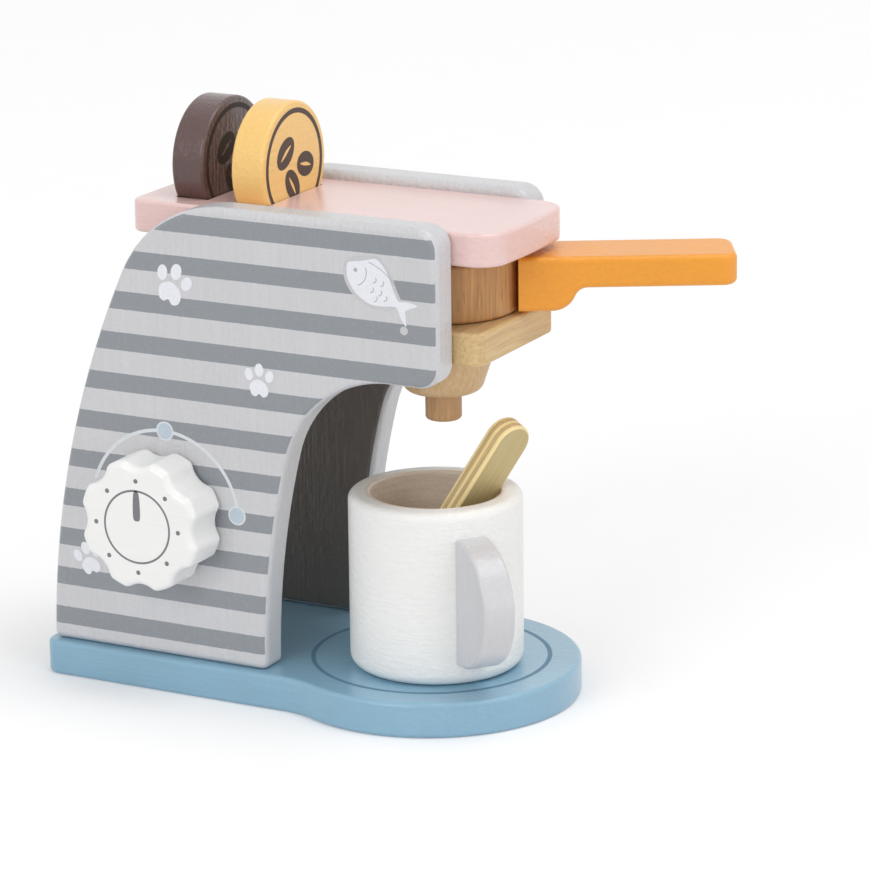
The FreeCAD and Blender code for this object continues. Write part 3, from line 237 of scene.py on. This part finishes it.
def paint(look, color, along, depth=1.0, mottle=0.05):
    """Satin paint on wood, as colour, normal and roughness: grain and roller marks stay visible."""
    fibres = look.noise(look.scaled(grain_scale(along, 900, 45)), 4)
    cloud = look.noise(look.scaled((28, 28, 28)), 3)
    roller = look.noise(look.scaled((480, 480, 480)), 3)
    half_fibres = look.math("MULTIPLY", fibres, 0.5)
    tone = look.math("ADD", half_fibres, look.math("MULTIPLY", cloud, 0.5))
    shade = look.tinted(color, mottle, look.ramp(tone, 0.35, 0.65))
    relief = look.bump(look.ramp(fibres, 0.3, 0.7), 0.05 * MM * depth)
    relief = look.bump(roller, 0.22 * MM * depth, 0.8, relief)
    rough = look.math("ADD", look.math("MULTIPLY", cloud, 0.16), 0.24)
    return shade, relief, rough


def painted(name, color, along, depth=1.0, mottle=0.05, coat=0.35):
    look = Look(name, 0.35, coat=coat)
    return look.finish(*paint(look, linear(*color), along, depth, mottle))


def bare_wood(name, light, dark, along, pores=0.5, bands=0.4):
    """Fibres, growth bands and pores that run along one axis."""
    look = Look(name, 0.5, specular=0.35, coat=0.15)
    fibres = look.noise(look.scaled(grain_scale(along, 700, 30)), 5, 0.6)
    growth = look.noise(look.scaled(grain_scale(along, 120, 7)), 3, 0.5, 0.4)
    pore_field = look.noise(look.scaled(grain_scale(along, 1700, 110)), 2, 0.5)
    wave = look.math("ABSOLUTE", look.math("SINE", look.math("MULTIPLY", growth, 34)))
    fine = look.math("MULTIPLY", look.ramp(fibres, 0.3, 0.7), 1 - bands)
    tone = look.math("ADD", fine, look.math("MULTIPLY", wave, bands))
    color = look.mix(tone, linear(*dark), linear(*light))
    pore = look.ramp(pore_field, 0.62, 0.7)
    deep = tuple(channel * 0.55 for channel in linear(*dark)[:3]) + (1,)
    color = look.mix(look.math("MULTIPLY", pore, pores), color, deep)
    relief = look.bump(look.math("SUBTRACT", fibres, pore), 0.06 * MM)
    rough = look.math("ADD", look.math("MULTIPLY", fibres, 0.2), 0.4)
    return look.finish(color, relief, rough)


# Stripes in millimetres, and how squarely a spot has to face sideways to be printed
STRIPE_PITCH = 14
STRIPE_TOP = 163.74
STRIPE_HEIGHT = 6.17
STRIPE_WAVER = 0.25
SQUARE_ENOUGH = 0.72


def panel_look(name, side):
    """Side panel: light grey, stripes printed outside, painted shade inside below the top board.
    side is -1 or 1.
    """
    look = Look(name, 0.35, coat=0.35)
    base, relief, rough = paint(look, linear(212, 212, 215), "z", 2.4, 0.05)
    _, y, z = look.split()
    outward = look.math("MULTIPLY", y, side)
    normal = look.tree.nodes.new("ShaderNodeTexCoord").outputs["Normal"]
    facing = look.math("MULTIPLY", look.split(normal)[1], side)
    uneven = look.math("SUBTRACT", look.noise(look.scaled((700, 700, 700)), 2), 0.5)
    height = look.math("ADD", z, look.math("MULTIPLY", uneven, STRIPE_WAVER * MM))

    depth = look.math("SUBTRACT", STRIPE_TOP * MM, height)
    step = look.math("DIVIDE", depth, STRIPE_PITCH * MM)
    phase = look.math("MULTIPLY", look.math("FRACT", step), STRIPE_PITCH / STRIPE_HEIGHT)
    below_first = look.math("GREATER_THAN", step, 0)
    printed = look.math("MULTIPLY", look.math("LESS_THAN", phase, 1), below_first)
    printed = look.math("MULTIPLY", printed, look.math("GREATER_THAN", facing, SQUARE_ENOUGH))
    mid_plane = (PANEL_INNER + PANEL_OUTER) / 2 * MM
    printed = look.math("MULTIPLY", printed, look.math("GREATER_THAN", outward, mid_plane))
    wear = look.ramp(look.noise(look.scaled((1200, 1200, 1200)), 3), 0.2, 0.5)
    stripe = look.mix(wear, linear(149, 154, 160), linear(141, 146, 152))
    color = look.mix(look.math("MULTIPLY", printed, 0.97), base, stripe)

    # Painted shade: the inner face below the top board turns dark grey-brown, standing for the
    # shade inside the housing
    from_inner = look.math("ABSOLUTE", look.math("SUBTRACT", outward, PANEL_INNER * MM))
    at_inner_face = look.math("LESS_THAN", from_inner, 0.4 * MM)
    below_board = look.math("LESS_THAN", z, (TOP_BOARD_UNDERSIDE - 0.2) * MM)
    grain = look.noise(look.scaled((900, 900, 50)), 3)
    dark = look.tinted(linear(120, 114, 109), 0.12, grain)
    color = look.mix(look.math("MULTIPLY", at_inner_face, below_board), color, dark)
    return look.finish(color, relief, rough)


def spoon_axes():
    """Spoon's own axes: x along it, z across its thickness, with its middle plane at z 0."""
    heading, slope, twist = (math.radians(a) for a in (SPOON_HEADING, SPOON_SLOPE, SPOON_TWIST))
    lean = Matrix.Rotation(heading, 4, "Z") @ Matrix.Rotation(-slope, 4, "Y")
    turn = lean @ Matrix.Rotation(twist, 4, "X")
    return Matrix.Translation([place * MM for place in SPOON_FOOT]) @ turn


PLIES = 5


def plywood():
    """Bare plywood: plies across the thickness, fibres along the spoon."""
    look = Look("plywood", 0.55, specular=0.3)
    along, side, across, _ = spoon_axes().inverted()
    height = look.math("ADD", look.measured(across[:3]), across[3])
    spot = look.joined(
        look.math("MULTIPLY", look.measured(along[:3]), 45),
        look.math("MULTIPLY", look.measured(side[:3]), 700),
        look.math("MULTIPLY", height, 700))
    fibres = look.noise(spot, 4)

    from_back = look.math("ADD", height, SPOON_THICKNESS / 2 * MM)
    ply = look.math("DIVIDE", from_back, SPOON_THICKNESS / PLIES * MM)
    ply = look.math("MINIMUM", look.math("MAXIMUM", ply, 0.02), PLIES - 0.02)
    is_core = look.math("GREATER_THAN", look.math("MODULO", look.math("FLOOR", ply), 2), 0.5)
    from_middle = look.math("ABSOLUTE", look.math("SUBTRACT", look.math("FRACT", ply), 0.5))
    glue = look.ramp(from_middle, 0.43, 0.49)

    tone = look.ramp(fibres, 0.3, 0.7)
    face = look.mix(tone, linear(253, 227, 162), linear(255, 240, 184))
    core = look.mix(tone, linear(202, 174, 128), linear(224, 196, 148))
    color = look.mix(is_core, face, core)
    color = look.mix(look.math("MULTIPLY", glue, 0.5), color, linear(120, 92, 58))
    grooves = look.math("SUBTRACT", fibres, look.math("MULTIPLY", glue, 0.4))
    return look.finish(color, look.bump(grooves, 0.06 * MM))


def cup_look():
    """White paint with turning marks outside, thinner and browner inside and on the rim's edge."""
    look = Look("cup_white", 0.4, specular=0.45)
    x, y, z = look.split()
    base, relief, rough = paint(look, linear(250, 250, 248), "x", 1.8, 0.03)
    rings = look.noise(look.scaled((120, 120, 1600)), 3)
    white = look.mix(look.ramp(rings, 0.25, 0.55), linear(247, 246, 243), base)

    bare = look.noise(look.scaled((80, 80, 700)), 3)
    inside = look.mix(look.ramp(bare, 0.25, 0.75), linear(228, 213, 197), linear(236, 224, 210))
    squares = [
        look.math("POWER", look.math("SUBTRACT", place, axis * MM), 2)
        for place, axis in zip((x, y), CUP_AXIS)]
    from_axis = look.math("SQRT", look.math("ADD", *squares))
    ragged = look.math("MULTIPLY", look.math("SUBTRACT", bare, 0.5), 1.6 * MM)
    radius = look.math("ADD", from_axis, ragged)
    rim = look.ramp(radius, (CUP_BORE_RADIUS + 0.4) * MM, (CUP_BORE_RADIUS + 2.6) * MM)
    floor = lowest("cup_body").z + CUP_FLOOR_THICKNESS
    over_floor = look.math("GREATER_THAN", z, (floor - 1.2) * MM)
    is_inside = look.math("MULTIPLY", look.math("SUBTRACT", 1, rim), over_floor)
    color = look.mix(is_inside, white, inside)
    normal = look.bump(look.ramp(rings, 0.3, 0.7), 0.04 * MM, 0.8, relief)
    return look.finish(color, normal, rough)


def zinc():
    """Zinc-plated steel with fine scratches."""
    look = Look("zinc", 0.32)
    look.shader.inputs["Metallic"].default_value = 1
    scratches = look.noise(look.scaled((2200, 2200, 300)), 3)
    color = look.mix(scratches, linear(168, 168, 166), linear(206, 205, 200))
    return look.finish(color, look.bump(scratches, 0.02 * MM))


def ink(name, color):
    """Thin printing ink with slight unevenness."""
    look = Look(name, 0.5, specular=0.35)
    grain = look.noise(look.scaled((1300, 1300, 1300)), 3)
    shade = look.tinted(linear(*color), 0.06, look.ramp(grain, 0.3, 0.6))
    return look.finish(shade, look.bump(grain, 0.02 * MM))


LOOKS = {
    "base_board": painted("blue_paint", (141, 184, 208), "x", 1.0, 0.07, coat=0.5),
    "base_screws": zinc(),
    "left_side_panel": panel_look("left_panel_paint", -1),
    "right_side_panel": panel_look("right_panel_paint", 1),
    "top_board": painted("pink_paint", (240, 205, 200), "x", 1.5, 0.05, coat=0.8),
    "top_board_dowels": bare_wood("dowel_wood", (205, 170, 125), (176, 140, 98), "y"),
    "brew_head_block": bare_wood("plain_wood", (223, 193, 142), (202, 168, 119), "y", pores=0.3),
    "brew_head_bowl": bare_wood("bowl_wood", (222, 190, 146), (202, 168, 124), "z", pores=0.2),
    "spout_dowel": bare_wood("spout_wood", (206, 166, 120), (178, 138, 96), "z"),
    "pod_dark": painted("brown_paint", (88, 56, 51), "z", 2.8, 0.2, coat=0.7),
    "pod_yellow": painted("yellow_paint", (253, 207, 124), "y", 1.5, 0.06, coat=0.3),
    "portafilter_basket": bare_wood(
        "dark_wood", (212, 160, 103), (176, 129, 81), "z", pores=0.6, bands=0.2),
    "portafilter_handle": painted("orange_paint", (246, 162, 44), "x", 1.2, 0.06, coat=0.1),
    "dial_knob": painted("knob_paint", (250, 250, 248), "x", 0.9, 0.03),
    "knob_retainer": bare_wood("retainer_wood", (222, 194, 148), (196, 164, 118), "y"),
    "cup_body": cup_look(),
    "cup_handle": painted("light_grey_paint", (212, 212, 215), "z", 1.3, 0.05),
    "spoon": plywood(),
}
for name in ("block_dowels", "cup_handle_dowels", "portafilter_handle_dowel", "knob_axle"):
    LOOKS[name] = LOOKS["top_board_dowels"]
LOOKS["portafilter_pivot_dowel"] = LOOKS["spout_dowel"]
for name, node in nodes.items():
    node.data.materials.clear()
    node.data.materials.append(LOOKS[name])


# Printed motifs, and a ring of painted shade on the base: flat shapes a few hundredths of a
# millimetre over the surface

def smooth_loop(points, steps=8):
    """Closed curve through the points."""
    found = []
    count = len(points)
    for i in range(count):
        p0, p1, p2, p3 = (points[(i + k - 1) % count] for k in range(4))
        for step in range(steps):
            t = step / steps
            found.append(tuple(
                0.5 * (2 * b + (c - a) * t + (2 * a - 5 * b + 4 * c - d) * t ** 2
                       + (3 * b - a - 3 * c + d) * t ** 3)
                for a, b, c, d in zip(p0, p1, p2, p3)))
    return found


def moved(loop, x, y, turn=0.0, scale=1.0):
    """Loop scaled and turned about its origin, then put at x, y."""
    cos, sin = math.cos(math.radians(turn)), math.sin(math.radians(turn))
    return [
        (x + scale * (u * cos - v * sin), y + scale * (u * sin + v * cos))
        for u, v in loop
    ]


def ellipse(x, y, half_width, half_height, turn=0.0, count=48):
    angles = (2 * math.pi * i / count for i in range(count))
    loop = [(half_width * math.cos(a), half_height * math.sin(a)) for a in angles]
    return moved(loop, x, y, turn)


def circle(x, y, radius, count=48):
    return ellipse(x, y, radius, radius, count=count)


def arc_points(x, y, radius, start, end, count=64):
    angles = (math.radians(start + (end - start) * i / count) for i in range(count + 1))
    return [(x + radius * math.cos(a), y + radius * math.sin(a)) for a in angles]


def arc_band(x, y, radius, width, start, end):
    """Stroke of that width along an arc."""
    outer = arc_points(x, y, radius + width / 2, start, end)
    inner = arc_points(x, y, radius - width / 2, start, end)
    return outer + inner[::-1]


# Rotations from the plane of a drawing to the left, front and top faces
PLANES = {
    "left": Matrix(((1, 0, 0), (0, 0, -1), (0, 1, 0))),
    "front": Matrix(((0, 0, 1), (1, 0, 0), (0, 1, 0))),
    "top": Matrix(((1, 0, 0), (0, 1, 0), (0, 0, 1))),
}


def print_shape(name, loops, plane, distance, body, material):
    """Fills the loops, drawn in millimetres, on a plane that far from the part's origin."""
    curve = bpy.data.curves.new(name, "CURVE")
    curve.dimensions = "2D"
    curve.fill_mode = "BOTH"
    for loop in loops:
        spline = curve.splines.new("POLY")
        spline.points.add(len(loop) - 1)
        for point, (u, v) in zip(spline.points, loop):
            point.co = (u * MM, v * MM, 0, 1)
        spline.use_cyclic_u = True
    flat = bpy.data.objects.new(name + "_curve", curve)
    scene.collection.objects.link(flat)
    bpy.context.view_layer.update()
    graph = bpy.context.evaluated_depsgraph_get()
    mesh = bpy.data.meshes.new_from_object(flat.evaluated_get(graph))
    bpy.data.objects.remove(flat)
    mesh.name = name
    matrix = PLANES[plane].to_4x4()
    matrix.translation = PLANES[plane] @ Vector((0, 0, distance * MM))
    mesh.transform(matrix)
    mesh.materials.clear()
    mesh.materials.append(material)
    piece = bpy.data.objects.new(name, mesh)
    scene.collection.objects.link(piece)
    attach(piece, body)


white_ink = ink("white_ink", (240, 242, 248))
pale_ink = ink("pale_ink", (206, 206, 208))
grey_ink = ink("grey_ink", (178, 182, 186))
dark_ink = ink("dark_ink", (84, 66, 58))
knob_ink = ink("knob_ink", (128, 130, 134))
# Painted shade: darker blue for the shade in the groove round the cup's place, drawn with the ink
# helper
painted_groove_shade = ink("painted_groove_shade", (92, 134, 160))
choco_ink = ink("choco_ink", (50, 36, 32))
arc_ink = ink("arc_ink", (226, 230, 234))
dot_ink = ink("dot_ink", (196, 210, 222))

# Heights of the prints in millimetres: over a face of the boards and pods, and over one another
INK_LIFT = 0.03
INK_LAYER = 0.02
ON_PANEL = PANEL_OUTER + INK_LIFT


def fish():
    """Fish that swims up and to the left, with a plain surround in the panel's grey."""
    outline = smooth_loop([
        (-2.7, 3.0), (-1.6, -0.6), (1.0, -3.2), (4.6, -4.9), (9.0, -5.4), (13.0, -4.2),
        (16.4, -2.2), (18.4, -1.6), (20.8, -3.6), (23.8, -5.4), (22.6, -2.8), (21.6, -1.0),
        (23.0, 0.8), (24.6, 2.8), (21.2, 2.2), (18.2, 0.8), (15.6, 2.6), (12.8, 5.2),
        (9.4, 8.0), (5.6, 9.1), (2.8, 7.2), (0.2, 5.2)])
    surround = smooth_loop([
        (-3.8, 3.4), (-2.7, -1.1), (0.4, -4.3), (4.5, -6.0), (9.4, -6.5), (13.8, -5.2),
        (17.0, -3.4), (19.0, 0.8), (16.0, 3.8), (12.8, 6.8), (6.4, 10.0), (2.2, 8.4), (-1.2, 6.2)])
    eye = circle(0.6, 2.2, 0.65, count=20)
    gill = arc_band(0.2, 1.4, radius=4.6, width=0.28, start=-48, end=46)
    fin = arc_band(6.0, -12.2, radius=19.2, width=0.25, start=62, end=97)
    scale_places = (7.4, 2.6), (7.8, -0.8), (10.2, 2.9), (10.8, -0.3), (10.2, -2.8), (13.2, -0.9)
    scales = [
        arc_band(u, v, radius=1.1, width=0.3, start=-70, end=60) for u, v in scale_places]

    layers = [
        ("fish_surround", [surround], pale_ink),
        ("fish_body", [outline], white_ink),
        ("fish_marks", [eye, gill, fin] + scales, grey_ink),
    ]
    for layer, (name, loops, material) in enumerate(layers):
        placed = [moved(loop, 31.7, 150.0, turn=-25) for loop in loops]
        print_shape(name, placed, "left", ON_PANEL + layer * INK_LAYER, "machine", material)
    bubble = circle(50.3, 133.6, 1.4, count=32)
    print_shape("bubble", [bubble], "left", ON_PANEL, "machine", pale_ink)


def paw(name, x, y, turn, scale):
    """Paw print: a lobed pad and three toes."""
    pad = smooth_loop([
        (-3.4, -1.6), (-2.6, -4.4), (-1.0, -5.0), (0.2, -4.0), (1.8, -4.9), (3.4, -3.8),
        (3.3, -1.4), (1.4, 0.4), (-1.2, 0.6)])
    toes = [
        ellipse(-3.9, 2.0, 1.5, 2.1, 12),
        ellipse(-0.2, 4.0, 1.6, 2.2, 4),
        ellipse(3.7, 2.4, 1.5, 2.0, -14)]
    loops = [moved(loop, x, y, turn, scale) for loop in [pad] + toes]
    print_shape(name, loops, "left", ON_PANEL, "machine", white_ink)


def dial():
    """Arc round the knob on the panel, with a rimmed dot over it and one at its front end."""
    arc = arc_band(-40, 62, radius=28, width=1.2, start=3, end=162)
    dot_places = (-39.3, 90), (-12.6, 64.4)
    rims = [circle(x, y, 3.3) for x, y in dot_places]
    dots = [circle(x, y, 2.7) for x, y in dot_places]
    print_shape("dial_arc", [arc], "left", ON_PANEL, "machine", arc_ink)
    print_shape("dial_dot_rims", rims, "left", ON_PANEL + INK_LAYER, "machine", arc_ink)
    print_shape("dial_dots", dots, "left", ON_PANEL + 2 * INK_LAYER, "machine", dot_ink)


def knob_face():
    """Ring, pointer and eight dots on the front of the knob."""
    x, y = KNOB_AXIS
    ring = [circle(x, y, radius, count=96) for radius in (12.6, 11.9)]
    pointer = smooth_loop([(-1.3, 0), (-1.1, 7.5), (0, 9.2), (1.1, 7.5), (1.3, 0), (0, -1.2)])
    angles = [math.radians(a) for a in range(0, 360, 45)]
    reach = 15.6
    marks = [
        circle(x + reach * math.sin(a), y + reach * math.cos(a), 0.8, count=20) for a in angles]
    on_knob = KNOB_FACE + INK_LAYER
    print_shape("knob_ring", ring, "left", on_knob, "dial", knob_ink)
    print_shape("knob_pointer", [moved(pointer, x, y + 3.2)], "left", on_knob, "dial", knob_ink)
    print_shape("knob_marks", marks, "left", on_knob, "dial", knob_ink)


def base_ring():
    """Darker blue ring on the base board, round the cup's place: painted shade of a groove."""
    loops = [circle(*ROUND_CENTRE, radius, count=180) for radius in (40.2, 38.7)]
    print_shape("base_ring", loops, "top", BASE_TOP + INK_LIFT, "machine", painted_groove_shade)


def bean(x, y, half_width, half_height, turn):
    """Coffee bean with a curved seam left open."""
    seam = smooth_loop([
        (0, -0.62 * half_height), (0.16 * half_width, -0.1 * half_height),
        (0.1 * half_width, 0.66 * half_height), (-0.14 * half_width, 0.1 * half_height)])
    return [ellipse(x, y, half_width, half_height, turn), moved(seam, x, y, turn)]


def pod_print(name, face_x, body, material):
    """Ring and three beans on the front face of a pod."""
    z = POD_CENTRE_HEIGHT
    loops = [circle(0, z, radius, count=120) for radius in (18.7, 17.0)]
    loops += bean(-5.6, z + 4.6, 4.3, 6.4, -54)
    loops += bean(7.3, z - 1.1, 4.2, 5.6, -100)
    loops += bean(-1.5, z - 6.6, 4.0, 6.0, -144)
    print_shape(name, loops, "front", face_x + INK_LIFT, body, material)


fish()
paw("paw_high", -34.9, 139.6, -22, 1.25)
paw("paw_middle", -3.1, 110.8, -4, 1.0)
paw("paw_low", -70.6, 41.6, 16, 1.0)
dial()
knob_face()
base_ring()
pod_print("front_pod_print", FRONT_POD_FACE, "front_pod", dark_ink)
pod_print("rear_pod_print", REAR_POD_FACE, "rear_pod", choco_ink)


# Floor, backdrop and light

FLOOR_REACH = 8.0
FLOOR_GLOW = 0.18
WORLD_LIGHT = 0.62
MIDDLE_OF_TOY = Vector((0, 0, 0.08))


def seen_directly(tree):
    """1 for the rays of the camera and of reflections, 0 for those that light the toy."""
    path = tree.nodes.new("ShaderNodeLightPath")
    either = tree.nodes.new("ShaderNodeMath")
    either.operation = "MAXIMUM"
    tree.links.new(path.outputs["Is Camera Ray"], either.inputs[0])
    tree.links.new(path.outputs["Is Glossy Ray"], either.inputs[1])
    return either.outputs[0]


def make_floor():
    """Pale flat floor, which cameras and reflections see lighter than it lights the toy."""
    mesh = bpy.data.meshes.new("floor")
    signs = (-1, -1), (1, -1), (1, 1), (-1, 1)
    corners = [(x * FLOOR_REACH, y * FLOOR_REACH, 0) for x, y in signs]
    mesh.from_pydata(corners, [], [(0, 1, 2, 3)])
    floor = bpy.data.objects.new("floor", mesh)
    scene.collection.objects.link(floor)
    look = Look("floor_paper", 0.9, specular=0.0)
    soft = look.noise(look.scaled((40, 40, 40)), 2)
    color = look.mix(soft, (0.86, 0.86, 0.865, 1), (0.875, 0.875, 0.88, 1))
    look.finish(color, look.bump(look.noise(look.scaled((900, 900, 900)), 2), 0.02 * MM))
    look.shader.inputs["Emission Color"].default_value = (1, 1, 1, 1)
    glow = look.math("MULTIPLY", seen_directly(look.tree), FLOOR_GLOW)
    look.put(look.shader.inputs["Emission Strength"], glow)
    mesh.materials.append(look.material)


def make_world():
    """White surroundings, which light the toy more weakly than cameras and reflections see them."""
    world = bpy.data.worlds.new("studio")
    scene.world = world
    world.use_nodes = True
    tree = world.node_tree
    light = tree.nodes["Background"]
    backdrop = tree.nodes.new("ShaderNodeBackground")
    for node, strength in ((light, WORLD_LIGHT), (backdrop, 1)):
        node.inputs["Color"].default_value = (1, 1, 1, 1)
        node.inputs["Strength"].default_value = strength
    mix = tree.nodes.new("ShaderNodeMixShader")
    tree.links.new(seen_directly(tree), mix.inputs[0])
    tree.links.new(light.outputs[0], mix.inputs[1])
    tree.links.new(backdrop.outputs[0], mix.inputs[2])
    tree.links.new(mix.outputs[0], tree.nodes["World Output"].inputs["Surface"])


def area_light(name, place, size, watts):
    """Round lamp of that diameter in metres, aimed at the toy."""
    data = bpy.data.lights.new(name, "AREA")
    data.shape = "DISK"
    data.size = size
    data.energy = watts
    light = bpy.data.objects.new(name, data)
    scene.collection.objects.link(light)
    light.location = place
    direction = MIDDLE_OF_TOY - Vector(place)
    light.rotation_mode = "QUATERNION"
    light.rotation_quaternion = direction.to_track_quat("-Z", "Y")


make_floor()
make_world()
area_light("key", (2.6, 0.4, 6.9), 4.4, 165)
area_light("fill", (-0.6, -5.7, 2.9), 3.0, 74)
area_light("side", (6.6, -1.6, 1.4), 4.2, 44)

scene.view_settings.view_transform = "Standard"
